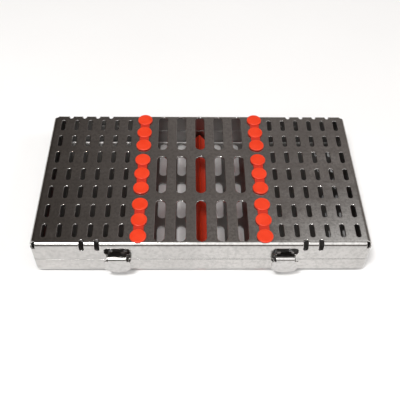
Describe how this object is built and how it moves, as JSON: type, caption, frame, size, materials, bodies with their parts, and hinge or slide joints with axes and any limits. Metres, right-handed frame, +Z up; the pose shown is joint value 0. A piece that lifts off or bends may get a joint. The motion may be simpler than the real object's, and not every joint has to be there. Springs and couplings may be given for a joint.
{
  "type": "dental instrument cassette",
  "caption": "Flat hinged steel cassette, punched for steam, with orange-red silicone rails that grip dental instruments and two thumb latches at the front.",
  "frame": {"origin": "centre of the pans' footprint, on the surface that the feet stand on", "axes": "+X right along the long side, +Y to the hinges, +Z up out of the lid"},
  "size_m": [0.205, 0.1212, 0.0297],
  "materials": {
    "pan_steel": "electropolished",
    "fitting_steel": "polished",
    "fastener_steel": "satin",
    "spring_steel": "satin",
    "silicone": "smooth"
  },
  "bodies": {
    "base": {"base_pan": "pan_steel", "base_rail_left": "silicone", "base_rail_right": "silicone", "centre_ridge": "silicone", "hinge_leaf_base_left": "fitting_steel", "hinge_leaf_base_right": "fitting_steel", "hinge_pin_left": "fastener_steel", "hinge_pin_right": "fastener_steel", "hinge_rivets_base": "fastener_steel", "latch_bracket_left": "fitting_steel", "latch_bracket_right": "fitting_steel", "latch_pin_left": "fastener_steel", "latch_pin_right": "fastener_steel", "latch_spring_left": "spring_steel", "latch_spring_right": "spring_steel", "latch_rivets": "fastener_steel"},
    "lid": {"lid_pan": "pan_steel", "lid_rail_left": "silicone", "lid_rail_right": "silicone", "hinge_leaf_lid_left": "fitting_steel", "hinge_leaf_lid_right": "fitting_steel", "hinge_rivets_lid": "fastener_steel"},
    "latch_left": {"latch_lever_left": "fitting_steel"},
    "latch_right": {"latch_lever_right": "fitting_steel"}
  },
  "joints": [
    {"name": "lid_hinge", "type": "hinge", "parent": "base", "child": "lid", "pos_m": [0, 0.0584, 0.0137], "axis": [-1, 0, 0], "range_deg": [0, 155]},
    {"name": "latch_left_pivot", "type": "hinge", "parent": "base", "child": "latch_left", "pos_m": [-0.0508, -0.0584, 0.0106], "axis": [1, 0, 0], "range_deg": [0, 16], "stiffness_Nm_per_rad": 0.02, "springref_deg": -20.05, "deforming": ["latch_spring_left"]},
    {"name": "latch_right_pivot", "type": "hinge", "parent": "base", "child": "latch_right", "pos_m": [0.0508, -0.0584, 0.0106], "axis": [1, 0, 0], "range_deg": [0, 16], "stiffness_Nm_per_rad": 0.02, "springref_deg": -20.05, "deforming": ["latch_spring_right"]}
  ]
}
